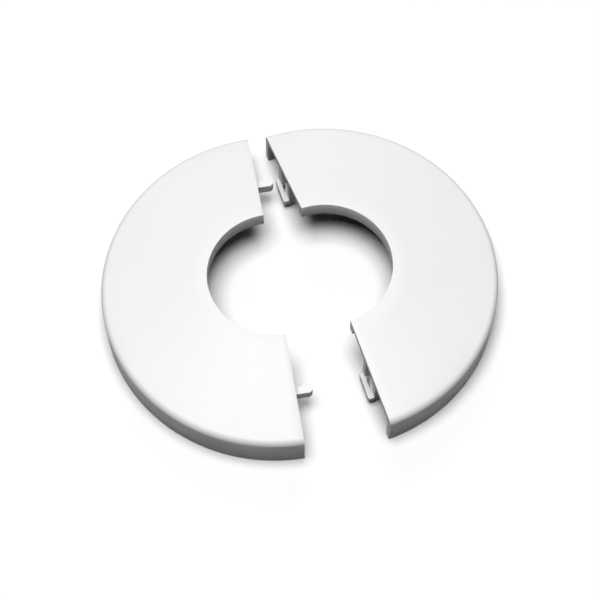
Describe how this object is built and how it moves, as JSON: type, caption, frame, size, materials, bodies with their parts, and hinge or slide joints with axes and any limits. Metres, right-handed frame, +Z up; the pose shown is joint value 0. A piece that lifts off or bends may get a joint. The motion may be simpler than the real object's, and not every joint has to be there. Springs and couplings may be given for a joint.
{
  "type": "pool rail escutcheon",
  "caption": "Split cover ring for the foot of a pool rail: hollow cone-topped halves with barbed pins and V-catch pockets that snap together round the rail.",
  "frame": {"origin": "on the deck plane, midway between the two halves' hole centres as pictured, which is the bottom centre of the whole part's box", "axes": "+Z up from the deck, +Y along the pin half's split face towards the end where the halves lie closest, +X from the pin half to the clip half"},
  "size_m": [0.1456, 0.1278, 0.0221],
  "materials": {
    "moulded_abs": "white moulded ABS, fine satin gloss"
  },
  "bodies": {
    "pin_half": {"pin_half": "moulded_abs"},
    "clip_half": {"clip_half": "moulded_abs"}
  },
  "joints": [
    {"name": "ring_swing", "type": "hinge", "parent": "pin_half", "child": "clip_half", "pos_m": [-0.00444, 0.09838, 0], "axis": [0, 0, 1], "range_deg": [-10.85, 25]}
  ]
}
